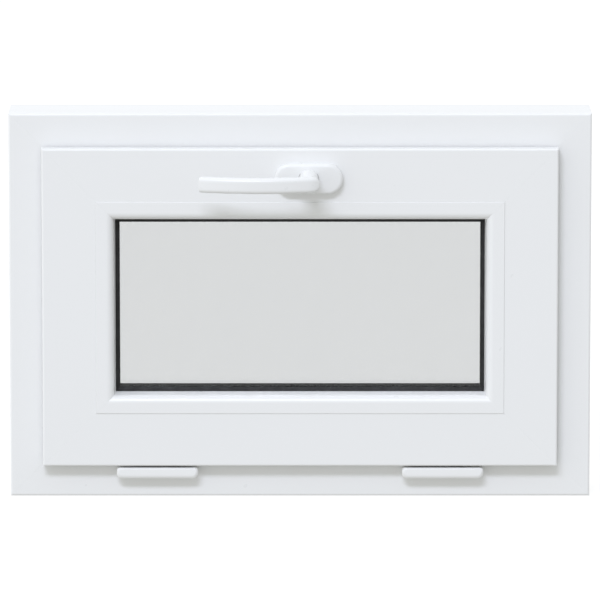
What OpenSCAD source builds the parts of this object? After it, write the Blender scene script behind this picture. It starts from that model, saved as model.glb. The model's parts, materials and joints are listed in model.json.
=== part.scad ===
// Bottom-hung casement window in white PVC: the sash tilts into the room.
// X runs to the right as seen from the room, Y out of the room, Z up.
// The origin is at the middle of the frame's bottom face, halfway through its depth.

/* [Frame] */
// Overall width of the frame
frame_w = 600; // [580:10:1000]
// Overall height of the frame
frame_h = 400; // [380:10:800]
// Depth of the frame, from its room face to its weather face
frame_depth = 70; // [70:1:76]
// Height of the frame profile, from its outer edge to its rebate floor
frame_leg = 42.5; // [42:0.25:42.5]
// Height of the weather-side upstand, from the frame's outer edge
upstand_h = 62; // [60:1:64]
// Edge radius of the frame profile
frame_edge_r = 2.5; // [1:0.5:3]

/* [Sash] */
// Frame face left showing all round the sash
sash_inset = 34.5; // [34.5:0.5:36]
// How far the sash front stands in front of the frame's room face
sash_proud = 16.5; // [16.5:0.5:18]
// Width of the sash face, from its edge to the glazing bead
sash_face = 55; // [54:0.5:55.5]
// Edge radius of the sash profile
sash_edge_r = 2; // [1:0.5:2.5]
// Wall thickness of both profiles
wall = 3; // [2.5:0.1:3]

/* [Glazing] */
// Width of the glazing bead, from the sash face to the daylight opening
bead_w = 20; // [19:0.5:21]
// How far the bead stands in front of the sash face
bead_proud = 0.7; // [0.3:0.1:1]
// Width of the gasket lip that shows beside the bead
gasket_lip = 4; // [3:0.5:5]
// Thickness of each glass pane
pane_t = 4; // [3:0.5:4]
// Gap between the two panes
pane_gap = 16; // [14:1:16]

/* [Hinges] */
// Distance of each tilt hinge from the middle of the window
hinge_x = 147.5; // [120:0.5:160]
// Length of a hinge cover
cover_w = 84; // [84:1:90]
// Half the height of a hinge cover
cover_r = 5.75; // [5.7:0.05:6]
// Radius of a hinge cover's long edges
cover_edge_r = 3; // [2:0.5:3.5]

/* [Handle] */
// Sideways place of the handle's turning axis
handle_x = 9; // [0:0.5:10]
// Length of the lever from its axis to its tip
grip_reach = 110.7; // [95:0.1:120]
// Height of the grip
grip_h = 16; // [14:0.5:18]
// Thickness of the grip
grip_t = 12; // [10:0.5:12]
// How far the lever's front stands off the sash
lever_stand = 62; // [56:1:70]
// Width of the rosette
rosette_w = 70; // [70:1:76]
// Height of the rosette
rosette_h = 31.5; // [29:0.5:32]

/* [Opening] */
// Distance of each locking cam from the middle of the window
cam_x = 190; // [170:1:200]
// Height of the stay pivots above the bottom of the frame
stay_z = 120; // [115:1:122]
// Tilt of the sash at which the stays stop it, in degrees
tilt_max = 30; // [20:1:30]

/* [Hidden] */

$fn = 64;
eps = 0.01;

// Gaps: loose is the room kept between separate pieces, snug a close fit in one body,
// running the radial play of a turning pin, seam the hairline beside a glazing bead
loose = 0.3;
snug = 0.2;
running = 0.05;
seam = 0.05;

// Sides of the window in the order bottom, left, top, right
BOTTOM = 0;
LEFT = 1;
TOP = 2;
RIGHT = 3;

// Planes across the depth
room_face = -frame_depth / 2;
weather_face = frame_depth / 2;
upstand_face = weather_face - 16;
sash_front = room_face - sash_proud;
overlap_back = room_face - 3;
sash_back = upstand_face - 4;
lip_face = sash_back - 15;
outer_pane_y = lip_face - 4 - pane_t;
inner_pane_y = outer_pane_y - pane_gap - pane_t;
bead_back = inner_pane_y - 3;
bead_front = sash_front - bead_proud;
bead_seat = sash_front + 5.5;

// Levels of the sash profile, measured inwards from the sash's outer edge
sash_rebate = 20;
glazing_floor = sash_face + 2;
bead_edge = sash_face + bead_w;
glass_edge = glazing_floor + 5;
spacer_sight = bead_edge - 1;
sash_w = frame_w - 2 * sash_inset;
sash_h = frame_h - 2 * sash_inset;

// Glazing bead section: a flat face, a round shoulder and a slope back to the gasket
shoulder_r = 7.5;
shoulder = [bead_front + shoulder_r, sash_face + bead_w * 0.56];
slope = [bead_back - shoulder[0], bead_edge - shoulder[1]];
slope_start = atan2(slope[1], slope[0]) + acos(shoulder_r / norm(slope));

// Hardware groove around the sash: a wide recess for the plate, then a channel for the rod
groove_y = room_face + 13;
recess_w = 16;
recess_d = 2.6;
channel_w = 12;
channel_d = 11;

// Steel in the profile chambers
steel_t = 1.5;
frame_steel_y = [-14, 14];
sash_steel_y = [room_face + 22, sash_back - wall];

// Frame fixing holes
fixing_r = 3.1;
fixing_z = [frame_h / 2 - 100, frame_h / 2 + 100];

// Drain slots in the sill, under their hoods
drain_x = 150;
drain_z = 17;

// Wood-type screws that hold the hardware
screw_r = 1.9;
screw_head = 3.4;
leaf_screw_len = 16;
faceplate_screw_len = 15;
striker_screw_len = 16;
bracket_screw_len = 13;
track_screw_len = 14;

// Tilt hinges
axis_y = room_face - 9.5;
axis_z = sash_inset - 8;
hinge_pin_r = 2.5;
knuckle_r = 4;
leaf_half_w = 24;
leaf_t = 2;
leaf_y = [room_face - 2.6 - axis_y, room_face - 0.6 - axis_y];
foot_back = sash_steel_y[0] + 9 - axis_y;
foot_z = sash_inset + sash_rebate - axis_z;
frame_knuckle_x = [25, 31];
base_plate_t = 2.5;
base_end = 38;
base_half_h = 3.9;
hinge_screw_x = 34.4;
hinge_screw_head = 3.2;
hinge_screw_len = 27;
cover_wall = 1.2;

// Top of the sash, where the drive sits
sash_top = frame_h - sash_inset;
rebate_top = sash_top - sash_rebate;
head_floor = frame_h - frame_leg;
handle_z = rebate_top - 10;

// Rack and sector pinion
gear_module = 2;
teeth_round = 10;
tooth_step = 360 / teeth_round;
pitch_r = gear_module * teeth_round / 2;
pressure = 25;
base_r = pitch_r * cos(pressure);
addendum = 1.6;
dedendum = 2;
backlash = 0.25;
gear_t = 6;
hub_r = 6.5;
journal_r = 5;
rack_travel = pitch_r * PI / 2;
rack_z = handle_z - pitch_r;
gear_plate_t = 2.3;

// Drive rod and cams
rod_w = 10;
rod_t = 3;
rod_top = rebate_top - recess_d - loose;
rod_across = [groove_y - rod_w / 2, groove_y + rod_w / 2];
rack_foot = 5.7;
rivet_r = 2;
rod_inner = [handle_x - 28, handle_x + 12.5];
horn_w = 4.5;
stem_r = 3;
roller_r = 5;
roller_z = [head_floor - 8, head_floor - 3.5];
cam_top = head_floor - 2.7;
lip_bottom = head_floor - 6;
striker_t = 2;
plate_half_w = cam_x + 38;
plate_screw_x = [-cam_x - 31, -105, 105, cam_x + 31];

// Gearbox case
case_x = [handle_x - 38, handle_x + 38];
case_z = [rack_z - 6.2, rebate_top - 6.3];
gear_y = [groove_y - gear_t / 2, groove_y + gear_t / 2];
case_y = [gear_y[0] - loose - gear_plate_t, gear_y[1] + loose + gear_plate_t];
handle_screw_x = [handle_x - 21.5, handle_x + 21.5];
boss_r = 4.5;
boss_len = 6.5;

// Handle. The neck is thick up to the rosette, then steps down to its bearing in the base
// plate and again to the seat of the detent ring.
neck_r = 10.2;
bearing_r = 8;
tail_r = 7;
rosette_d = 10.5;
rosette_wall = 1.6;
rosette_edge_r = 3;
base_d = 7.5;
ring_r = 10;
ring_y = [sash_front - 3.2, sash_front - 1];
spindle = 7;
spindle_reach = 33;
handle_screw_r = 2.5;
handle_screw_head = 4.8;
handle_screw_len = gear_y[0] - sash_front + base_d - 1;
bow_r = 190;
lever_end = handle_x + 11.5;
lever_tip = handle_x - grip_reach;
bow_x = (lever_end + lever_tip) / 2;
bow_front = sash_front - lever_stand;

// Stays. The pivot is as far from the tilt axis as the arm is long, so that the arm turns
// exactly twice as far as the sash and its pin runs along a straight slot.
stay_y = groove_y;
arm_dy = stay_y - axis_y;
arm_dz = stay_z - axis_z;
arm_len = sqrt(arm_dy * arm_dy + arm_dz * arm_dz);
arm_tilt = atan2(arm_dy, arm_dz);
arm_r = 6;
stay_pin_r = 2.5;
rebate_half_w = sash_w / 2 - sash_rebate;
arm_x = rebate_half_w + 6.5;
arm_t = 2;
track_t = 5;
track_r = 7;
slot_r = stay_pin_r + 0.15;
track_far = 2 * arm_len;
track_near = 2 * arm_len * cos(tilt_max);
bracket_t = 2;
bracket_screw_y = -8;
frame_half_w = frame_w / 2 - frame_leg;

pvc = "white";
steel = "silver";
rubber = "#202020";

// ---- helpers ----

// Points of an arc about [cx, cy], from angle a0 to a1 in n steps
function arc(cx, cy, r, a0, a1, n = 6) =
    [for (i = [0:n]) let (a = a0 + (a1 - a0) * i / n) [cx + r * cos(a), cy + r * sin(a)]];

// A box given by its ranges along X, Y and Z
module block(x, y, z)
    translate([x[0], y[0], z[0]]) cube([x[1] - x[0], y[1] - y[0], z[1] - z[0]]);

// A rectangle in a profile section, by its ranges across the depth and inwards
module cell(y, u) translate([y[0], u[0]]) square([y[1] - y[0], u[1] - u[0]]);

// Puts a bottom bar of a w by h rectangle on one of its four sides
module on_side(side, w, h)
    translate([0, 0, frame_h / 2]) rotate([0, 90 * side, 0])
        translate([0, 0, -(side % 2 == 0 ? h : w) / 2]) children();

// A straight bar along X whose section is drawn as [depth, inwards] points
module bar(length) rotate([90, 0, 90]) linear_extrude(length, center = true) children();

// One mitred member of a w by h rectangle, no wider than depth
module member(side, w, h, depth) {
    length = side % 2 == 0 ? w : h;
    on_side(side, w, h) intersection() {
        bar(length) children();
        rotate([90, 0, 0]) linear_extrude(400, center = true)
            polygon([[-length / 2, 0], [length / 2, 0],
                [length / 2 - depth, depth], [-length / 2 + depth, depth]]);
    }
}

// A closed ring of four mitred members
module ring(w, h, depth) for (side = [BOTTOM:RIGHT]) member(side, w, h, depth) children();

// The right-hand children, or their mirror image on the left
module handed(side) mirror([side == LEFT ? 1 : 0, 0, 0]) children();

// A cylinder along Y from y[0] to y[1]
module rod_y(r, y) translate([0, y[0], 0]) rotate([-90, 0, 0]) cylinder(h = y[1] - y[0], r = r);

// A cylinder along X, centred
module rod_x(r, length) rotate([0, 90, 0]) cylinder(h = length, r = r, center = true);

// A flat-sided oval along Y, w wide and h high, from y[0] to y[1]
module oval_y(w, h, y) {
    for (s = [-1, 1]) translate([s * (w - h) / 2, 0, 0]) rod_y(h / 2, y);
    block([-(w - h) / 2, (w - h) / 2], y, [-h / 2, h / 2]);
}

// A round-ended bar in the XY plane from [0, 0] to [0, length], h thick
module link(r, length, h) {
    cylinder(h = h, r = r);
    translate([0, length, 0]) cylinder(h = h, r = r);
    translate([-r, 0, 0]) cube([2 * r, length, h]);
}

// Cross recess in a screw head whose face is at z = 0
module cross_recess(size, depth)
    for (a = [0, 90]) rotate([0, 0, a])
        translate([-size / 2, -size / 8, -eps]) cube([size, size / 4, depth + eps]);

// Countersunk screw with its face at z = 0 and its shank along +Z
module flat_screw(r, head_r, length) difference() {
    union() {
        cylinder(h = head_r - r, r1 = head_r, r2 = r);
        cylinder(h = length - r, r = r);
        translate([0, 0, length - r]) cylinder(h = r, r1 = r, r2 = r / 3);
    }
    cross_recess(head_r * 1.1, 1);
}

// The hole that a countersunk screw goes in
module flat_screw_hole(r, head_r, length) {
    translate([0, 0, -eps]) cylinder(h = head_r - r + snug, r1 = head_r + snug, r2 = r);
    translate([0, 0, -eps]) cylinder(h = length + 1, r = r + running);
}

// ---- frame ----

module frame_section() difference() {
    polygon(concat(
        arc(room_face + frame_edge_r, frame_edge_r, frame_edge_r, 180, 270),
        arc(weather_face - frame_edge_r, frame_edge_r, frame_edge_r, 270, 360),
        arc(weather_face - frame_edge_r, upstand_h - frame_edge_r, frame_edge_r, 0, 90),
        [[upstand_face, upstand_h], [upstand_face, frame_leg], [room_face, frame_leg]]));
    cell([room_face + wall, frame_steel_y[0] - 2.5], [wall, frame_leg - wall]);
    cell(frame_steel_y, [wall, frame_leg - wall]);
    cell([frame_steel_y[1] + 2.5, weather_face - wall], [wall, frame_leg - wall]);
    cell([upstand_face + wall, weather_face - wall], [frame_leg, upstand_h - wall]);
}

module frame_member(side) color(pvc) member(side, frame_w, frame_h, upstand_h) frame_section();

// U section that fills a chamber, with its web at the inner or the outer side of the chamber
module steel_section(y, u, web_inside) difference() {
    cell([y[0] + snug, y[1] - snug], [u[0] + snug, u[1] - snug]);
    cell([y[0] + snug + steel_t, y[1] - snug - steel_t],
        web_inside ? [u[0], u[1] - snug - steel_t] : [u[0] + snug + steel_t, u[1]]);
}

module fixing_holes(side) handed(side) for (z = fixing_z)
    translate([frame_w / 2 - 25, 0, z]) rod_x(fixing_r, 60);

module frame_jamb(side) difference() {
    frame_member(side);
    fixing_holes(side);
    handed(side) stay_bracket_holes();
}

module frame_sill() difference() {
    frame_member(BOTTOM);
    hinge_screw_holes();
    for (s = [-1, 1]) block([s * drain_x - 14, s * drain_x + 14],
        [weather_face - wall - 1, weather_face + 1], [drain_z - 3, drain_z + 3]);
}

module frame_head() difference() {
    frame_member(TOP);
    striker_screw_holes();
}

module frame_reinforcements() color(steel) difference() {
    for (side = [BOTTOM:RIGHT])
        on_side(side, frame_w, frame_h) bar((side % 2 == 0 ? frame_w : frame_h) - 100)
            steel_section(frame_steel_y, [wall, frame_leg - wall], true);
    for (side = [LEFT, RIGHT]) {
        fixing_holes(side);
        handed(side) stay_bracket_holes();
    }
    hinge_screw_holes();
}

// Lip seal on the upstand, which the closed sash presses against
module frame_rebate_seal() color(rubber)
    ring(frame_w, frame_h, upstand_h)
        polygon([[upstand_face, upstand_h - 8], [upstand_face, upstand_h - 1],
            [sash_back + loose, upstand_h - 1], [sash_back + loose, upstand_h - 2.5]]);

// Hoods over the two drain slots in the weather face
module drain_caps() color(pvc) for (s = [-1, 1]) translate([s * drain_x, weather_face, drain_z])
    difference() {
        intersection() {
            oval_y(44, 14, [0, 3.2]);
            block([-30, 30], [-1, 4], [-5, 8]);
        }
        block([-17, 17], [-1, 1.8], [-6, 4]);
    }

// ---- tilt hinges ----

module at_hinges() for (s = [-1, 1]) at_hinge(s) children();

module at_hinge(s) translate([s * hinge_x, axis_y, axis_z]) children();

// Places of the screws in a hinge base, on the front of its plate
module at_hinge_screws() at_hinges() for (s = [-1, 1])
    translate([s * hinge_screw_x, room_face - axis_y - base_plate_t, 0])
        rotate([-90, 0, 0]) children();

module hinge_screw_holes() at_hinge_screws()
    flat_screw_hole(screw_r, hinge_screw_head, hinge_screw_len);

module hinge_base_screws() color(steel) at_hinge_screws()
    flat_screw(screw_r, hinge_screw_head, hinge_screw_len);

// Frame half of a hinge: a back plate with two knuckles
module hinge_base(s) color(steel) difference() {
    at_hinge(s) difference() {
        back = room_face - axis_y;
        union() {
            for (e = [0, 1]) mirror([e, 0, 0]) {
                translate([frame_knuckle_x[0], 0, 0]) rotate([0, 90, 0])
                    cylinder(h = frame_knuckle_x[1] - frame_knuckle_x[0], r = knuckle_r);
                block(frame_knuckle_x, [0, back], [-knuckle_r, knuckle_r]);
                block([frame_knuckle_x[0], base_end], [back - base_plate_t, back],
                    [-base_half_h, base_half_h]);
            }
            block([-frame_knuckle_x[1], frame_knuckle_x[1]], [back - base_plate_t, back],
                [-base_half_h, -1.2]);
        }
        rod_x(hinge_pin_r + running / 2, 80);
    }
    hinge_screw_holes();
}

module hinge_pin(s) color(steel) at_hinge(s) rod_x(hinge_pin_r, 2 * frame_knuckle_x[1]);

// Round-ended box, w long and 2 * r high, with rounded long edges in front and a flat back
module soft_box(r, w, edge_r, back) intersection() {
    union() {
        for (z = [edge_r - r, r - edge_r]) translate([0, edge_r - r, z]) rod_x(edge_r, w);
        block([-w / 2, w / 2], [-r, back], [edge_r - r, r - edge_r]);
        block([-w / 2, w / 2], [edge_r - r, back], [-r, r]);
    }
    oval_y(w, 2 * r, [-r - 1, back]);
}

// Hollow cover over a hinge, slotted for the sash half's leaf
module hinge_cover(s) color(pvc) at_hinge(s) difference() {
    back = room_face - axis_y;
    soft_box(cover_r, cover_w, cover_edge_r, back);
    soft_box(cover_r - cover_wall, cover_w - 2 * cover_wall, cover_edge_r - cover_wall, back + eps);
    block([-leaf_half_w - 0.6, leaf_half_w + 0.6], [3.1, back + 1], [0, cover_r + 1]);
}

// Sash half of a hinge: a knuckle, a leaf in the gap between sash and frame, and a foot
// under the sash's rebate face
module hinge_leaf(s) color(steel) difference() {
    at_hinge(s) difference() {
        half_w = [-leaf_half_w, leaf_half_w];
        union() {
            rod_x(knuckle_r, 2 * leaf_half_w);
            block(half_w, [0, leaf_y[1]], [0, leaf_t]);
            block(half_w, leaf_y, [0, foot_z]);
            block(half_w, [leaf_y[0], foot_back], [foot_z - leaf_t, foot_z]);
        }
        rod_x(hinge_pin_r + running, 80);
    }
    leaf_screw_holes();
}

module at_leaf_screws() at_hinges() for (s = [-1, 1])
    translate([s * 15, foot_back - 5, foot_z - leaf_t]) children();

module leaf_screw_holes() at_leaf_screws() flat_screw_hole(screw_r, screw_head, leaf_screw_len);

module hinge_leaf_screws() color(steel) at_leaf_screws()
    flat_screw(screw_r, screw_head, leaf_screw_len);

// ---- sash ----

module sash_section() difference() {
    polygon(concat(
        arc(sash_front + sash_edge_r, sash_edge_r, sash_edge_r, 180, 270),
        [[overlap_back, 0], [overlap_back, sash_rebate], [sash_back, sash_rebate]],
        arc(sash_back - 1.5, bead_edge - 1.5, 1.5, 0, 90),
        [[lip_face, bead_edge], [lip_face, glazing_floor],
            [bead_seat, glazing_floor], [bead_seat, sash_face],
            [sash_front, sash_face]]));
    cell([sash_front + wall, overlap_back - wall], [wall, sash_rebate + 0.5]);
    cell([sash_front + wall, room_face + 2], [sash_rebate + 2.5, sash_face - 2.5]);
    cell([groove_y - recess_w / 2, groove_y + recess_w / 2], [sash_rebate - 1, sash_rebate + recess_d]);
    cell([groove_y - channel_w / 2, groove_y + channel_w / 2],
        [sash_rebate + 1, sash_rebate + channel_d]);
    cell([groove_y - channel_w / 2, groove_y + channel_w / 2],
        [sash_rebate + channel_d + 2, sash_face - 1]);
    cell(sash_steel_y, [sash_rebate + wall, sash_face - 1]);
    cell([lip_face + wall, sash_back - wall], [glazing_floor + 1, bead_edge - wall]);
}

module sash_member(side) color(pvc) member(side, sash_w, sash_h, bead_edge) sash_section();

module sash_bottom_rail() difference() {
    sash_member(BOTTOM);
    leaf_screw_holes();
}

module sash_stile(side) difference() {
    sash_member(side);
    handed(side) track_screw_holes();
}

// The top rail is milled out for the gearbox and bored for the spindle and the screw bosses
module sash_top_rail() difference() {
    sash_member(TOP);
    block([case_x[0] - 0.5, case_x[1] + 0.5], [case_y[0] - loose, case_y[1] + loose],
        [case_z[0] - 0.5, rebate_top - 1]);
    translate([handle_x, 0, handle_z]) rod_y(tail_r, [sash_front - 1, groove_y]);
    for (x = handle_screw_x) translate([x, 0, handle_z])
        rod_y(boss_r + snug, [sash_front - 1, groove_y]);
    faceplate_screw_holes();
}

module sash_reinforcements() color(steel) difference() {
    for (side = [BOTTOM:RIGHT])
        on_side(side, sash_w, sash_h) bar((side % 2 == 0 ? sash_w : sash_h) - 120)
            steel_section(sash_steel_y, [sash_rebate + wall, sash_face - 1], false);
    leaf_screw_holes();
    for (side = [LEFT, RIGHT]) handed(side) track_screw_holes();
}

// Seal between the sash overlap and the room face of the frame, cut away at the hinges
module sash_overlap_seal() color(rubber) difference() {
    ring(sash_w, sash_h, sash_rebate)
        polygon([[overlap_back, 3], [room_face - loose, 4], [room_face - loose, 5.5],
            [overlap_back, 7.5]]);
    at_hinges() block([-leaf_half_w - 1, leaf_half_w + 1], [0, 12], [0, 20]);
}

// ---- glazing ----

module pane(y) color("lightcyan", 0.4)
    block([-sash_w / 2 + glass_edge, sash_w / 2 - glass_edge], [y, y + pane_t],
        [sash_inset + glass_edge, sash_top - glass_edge]);

// Wedge-lipped gasket strip between a pane face and a profile face
module outer_glazing_gasket() color(rubber) ring(sash_w, sash_h, bead_edge + gasket_lip)
    polygon([[outer_pane_y + pane_t, glass_edge + 2], [lip_face, glass_edge + 2],
        [lip_face, bead_edge], [outer_pane_y + pane_t + 1, bead_edge + gasket_lip],
        [outer_pane_y + pane_t, bead_edge + gasket_lip]]);

module bead_gasket() color(rubber) ring(sash_w, sash_h, bead_edge + gasket_lip)
    polygon([[bead_back, glass_edge + 2], [inner_pane_y, glass_edge + 2],
        [inner_pane_y, bead_edge + gasket_lip], [inner_pane_y - 1, bead_edge + gasket_lip],
        [bead_back, bead_edge]]);

module glazing_spacer() color("gray") ring(sash_w, sash_h, spacer_sight) difference() {
    cell([inner_pane_y + pane_t, outer_pane_y], [spacer_sight - 7, spacer_sight]);
    cell([inner_pane_y + pane_t + 1, outer_pane_y - 1], [spacer_sight - 6, spacer_sight - 1]);
}

module edge_sealant() color(rubber) ring(sash_w, sash_h, spacer_sight)
    cell([inner_pane_y + pane_t, outer_pane_y], [glass_edge, spacer_sight - 7]);

// Packers that carry the glass: two under it and one at each side
module setting_blocks() color("darkgreen") {
    depth = [inner_pane_y, outer_pane_y + pane_t];
    for (s = [-1, 1]) {
        block([s * 140 - 40, s * 140 + 40], depth,
            [sash_inset + glazing_floor, sash_inset + glass_edge]);
        block([s * (sash_w / 2 - glass_edge + 2.5) - 2.5, s * (sash_w / 2 - glass_edge + 2.5) + 2.5],
            depth, [sash_top - glass_edge - 70, sash_top - glass_edge - 20]);
    }
}

module bead_section() difference() {
    polygon(concat(
        arc(bead_front + bead_proud, sash_face + seam + bead_proud, bead_proud, 270, 180, 4),
        arc(shoulder[0], shoulder[1], shoulder_r, 180, slope_start, 10),
        [[bead_back, bead_edge], [bead_back, glazing_floor + loose],
            [bead_seat - loose, glazing_floor + loose], [bead_seat - loose, sash_face + seam]]));
    cell([bead_seat - 0.5, bead_back - 3], [glazing_floor + 3, sash_face + 14]);
}

module bead(side) color(pvc) member(side, sash_w, sash_h, bead_edge) bead_section();

// ---- drive ----

// Face plate of the espagnolette, slotted for the cams
module espagnolette_faceplate() color(steel) difference() {
    translate([0, groove_y, rebate_top - recess_d]) linear_extrude(recess_d)
        square([2 * plate_half_w, recess_w - 2 * snug], center = true);
    for (x = [-cam_x, cam_x]) translate([x, groove_y, rebate_top - recess_d - 1])
        rotate([0, 0, -90]) link(stem_r + loose, rack_travel, recess_d + 2);
    faceplate_screw_holes();
}

module at_faceplate_screws() for (x = plate_screw_x)
    translate([x, groove_y, rebate_top]) rotate([180, 0, 0]) children();

module faceplate_screw_holes() at_faceplate_screws()
    flat_screw_hole(screw_r, screw_head, faceplate_screw_len);

module faceplate_screws() color(steel) at_faceplate_screws()
    flat_screw(screw_r, screw_head, faceplate_screw_len);

// Outline shared by both gearbox plates: a long plate with a tongue up to the face plate
module gear_plate(y) difference() {
    union() {
        block(case_x, y, case_z);
        block([rod_inner[0] + horn_w + rack_travel + 0.4, rod_inner[1] - 0.4], y,
            [case_z[0], rebate_top - recess_d]);
    }
    translate([handle_x, 0, handle_z]) rod_y(journal_r + running, [y[0] - 1, y[1] + 1]);
}

module gearbox_front() color(steel) difference() {
    union() {
        gear_plate([case_y[0], gear_y[0] - loose]);
        for (x = handle_screw_x) translate([x, 0, handle_z])
            rod_y(boss_r, [case_y[0] - boss_len, case_y[0]]);
    }
    for (x = handle_screw_x) translate([x, 0, handle_z])
        rod_y(handle_screw_r + running, [case_y[0] - boss_len - 1, gear_y[0]]);
}

module gearbox_back() color(steel) {
    gear_plate([gear_y[1] + loose, case_y[1]]);
    for (x = [case_x[0], case_x[1] - 4])
        block([x, x + 4], [gear_y[0] - loose, gear_y[1] + loose], case_z);
}

function involute(a) = tan(a) * 180 / PI - a;
// Half the angle that a pinion tooth fills at radius r
function half_angle(r) = (PI * gear_module / 2 - backlash / 2) / (2 * pitch_r) * 180 / PI
    + involute(pressure) - involute(acos(base_r / r));
function flank(s) = [for (i = [0:5]) let (
    r = base_r + (pitch_r + addendum - base_r) * i / 5,
    a = s * half_angle(r)) [r * cos(a), r * sin(a)]];
function reversed(p) = [for (i = [len(p) - 1:-1:0]) p[i]];

module pinion_tooth() polygon(concat(
    [[0, 0], [base_r - 1.5, -1.7]], flank(-1), reversed(flank(1)), [[base_r - 1.5, 1.7]]));

// Sector pinion on the handle's spindle. Its teeth fill the arc that the rack needs.
module gear_pinion() color(steel) translate([handle_x, gear_y[1], handle_z]) rotate([90, 0, 0])
    difference() {
        union() {
            linear_extrude(gear_t) {
                circle(hub_r);
                for (i = [0:3]) rotate(-90 - tooth_step * i) pinion_tooth();
                for (i = [0:2]) polygon([[0, 0],
                    for (j = [0:4]) let (a = -90 - tooth_step * (i + j / 4))
                        (pitch_r - dedendum) * [cos(a), sin(a)]]);
            }
            translate([0, 0, -gear_plate_t]) cylinder(h = gear_t + 2 * gear_plate_t, r = journal_r);
        }
        translate([0, 0, gear_t / 2]) cube([spindle + 0.1, spindle + 0.1, 20], center = true);
    }

// One rack tooth about its centre line, root to tip
module rack_tooth() {
    half = PI * gear_module / 4 - backlash / 4;
    polygon([[-half - dedendum * tan(pressure), -dedendum], [half + dedendum * tan(pressure), -dedendum],
        [half - addendum * tan(pressure), addendum], [-half + addendum * tan(pressure), addendum]]);
}

// Rack bar with its horns and the two rods that carry the cams
module drive_rod() color(steel) {
    translate([0, gear_y[1], 0]) rotate([90, 0, 0]) linear_extrude(gear_t) {
        for (i = [-3:1]) translate([handle_x + (i - 0.5) * PI * gear_module, rack_z]) rack_tooth();
        translate([rod_inner[0] - horn_w, rack_z - rack_foot])
            square([rod_inner[1] - rod_inner[0] + 2 * horn_w, rack_foot - dedendum + eps]);
        for (x = [rod_inner[0] - horn_w, rod_inner[1]])
            translate([x, rack_z - rack_foot]) square([horn_w, rod_top - rack_z + rack_foot]);
    }
    difference() {
        union() {
            block([-cam_x - 7, rod_inner[0]], rod_across, [rod_top - rod_t, rod_top]);
            block([rod_inner[1], cam_x + 7], rod_across, [rod_top - rod_t, rod_top]);
        }
        for (x = [-cam_x, cam_x]) translate([x, groove_y, rod_top - rod_t - 1])
            cylinder(h = rod_t + 2, r = rivet_r + running);
        for (x = [plate_screw_x[1], plate_screw_x[2]])
            translate([x, groove_y, rod_top - rod_t - 1])
                rotate([0, 0, 90]) link(screw_r + 0.5, rack_travel, rod_t + 2);
    }
}

// Mushroom cams riveted to the rods
module locking_cams() color(steel) for (x = [-cam_x, cam_x]) translate([x, groove_y, 0]) {
    translate([0, 0, rod_top - rod_t]) cylinder(h = rod_t + 1, r = rivet_r);
    translate([0, 0, rod_top]) cylinder(h = roller_z[0] - rod_top, r = stem_r);
    translate([0, 0, roller_z[0]]) cylinder(h = roller_z[1] - roller_z[0], r = roller_r);
    translate([0, 0, roller_z[1]]) cylinder(h = cam_top - roller_z[1], r1 = roller_r, r2 = roller_r - 1.5);
}

// Striker on the frame head: the cam slides in behind its lip from the right
module striker(s) color(steel) difference() {
    translate([s * cam_x, 0, 0]) {
        block([-27, 9], [groove_y - 8, groove_y + 8], [head_floor - striker_t, head_floor]);
        block([-6, 8], [groove_y - 8, groove_y - roller_r - 0.4], [lip_bottom, head_floor - 1]);
    }
    striker_screw_holes();
}

module at_striker_screws() for (x = [-cam_x, cam_x], dx = [-22, -12])
    translate([x + dx, groove_y, head_floor - striker_t]) children();

module striker_screw_holes() at_striker_screws()
    flat_screw_hole(screw_r, screw_head, striker_screw_len);

module striker_screws() color(steel) at_striker_screws()
    flat_screw(screw_r, screw_head, striker_screw_len);

// ---- handle ----

module at_handle() translate([handle_x, 0, handle_z]) children();

// Base plate on the sash, with a bearing for the lever and a pocket behind it
module handle_base() color("gray") difference() {
    at_handle() difference() {
        oval_y(rosette_w - 5, rosette_h - 5, [sash_front - base_d, sash_front]);
        rod_y(bearing_r + running, [sash_front - base_d - 1, sash_front + 1]);
        rod_y(ring_r + 0.6, [ring_y[0] - 0.4, sash_front + 1]);
    }
    handle_screw_holes();
}

module at_handle_screws() for (x = handle_screw_x)
    translate([x, sash_front - base_d, handle_z]) rotate([-90, 0, 0]) children();

module handle_screw_holes() at_handle_screws()
    flat_screw_hole(handle_screw_r, handle_screw_head, base_d + 12.5);

module handle_screws() color(steel) at_handle_screws()
    flat_screw(handle_screw_r, handle_screw_head, handle_screw_len);

// Cap over the base plate, with a rounded front edge
module rosette_cover() color(pvc) at_handle() difference() {
    union() {
        for (a = [0:15:90]) let (inset = rosette_edge_r * (1 - cos(a)))
            oval_y(rosette_w - 2 * inset, rosette_h - 2 * inset,
                [sash_front - rosette_d + rosette_edge_r * (1 - sin(a)), sash_front]);
    }
    oval_y(rosette_w - 2 * rosette_wall, rosette_h - 2 * rosette_wall,
        [sash_front - rosette_d + rosette_wall, sash_front + 1]);
    rod_y(neck_r + loose, [sash_front - rosette_d - 1, sash_front]);
}

// Cross-section of the grip, with rounded corners
module grip_section(r = 4) {
    square([grip_t - 2 * r, grip_h], center = true);
    square([grip_t, grip_h - 2 * r], center = true);
    for (x = [-1, 1], y = [-1, 1])
        translate([x * (grip_t / 2 - r), y * (grip_h / 2 - r)]) circle(r);
}

// Lever: a bowed grip on a round neck, bored for the square spindle
module handle_lever() color(pvc) difference() {
    right = asin((lever_end - bow_x) / bow_r);
    left = asin((lever_tip - bow_x) / bow_r);
    union() {
        translate([bow_x, bow_front + bow_r, handle_z]) rotate([0, 0, 270 + left])
            rotate_extrude(angle = right - left, $fn = 180)
                translate([bow_r - grip_t / 2, 0]) grip_section();
        at_handle() {
            rod_y(neck_r, [bow_front + grip_t + 6, sash_front - base_d - loose]);
            rod_y(bearing_r, [bow_front + grip_t + 3, ring_y[0] - 0.2]);
            rod_y(tail_r, [bow_front + grip_t, ring_y[1] + 0.2]);
        }
    }
    at_handle() block([-spindle / 2 - 0.05, spindle / 2 + 0.05],
        [sash_front - spindle_reach - 1, sash_front], [-spindle / 2 - 0.05, spindle / 2 + 0.05]);
}

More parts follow.
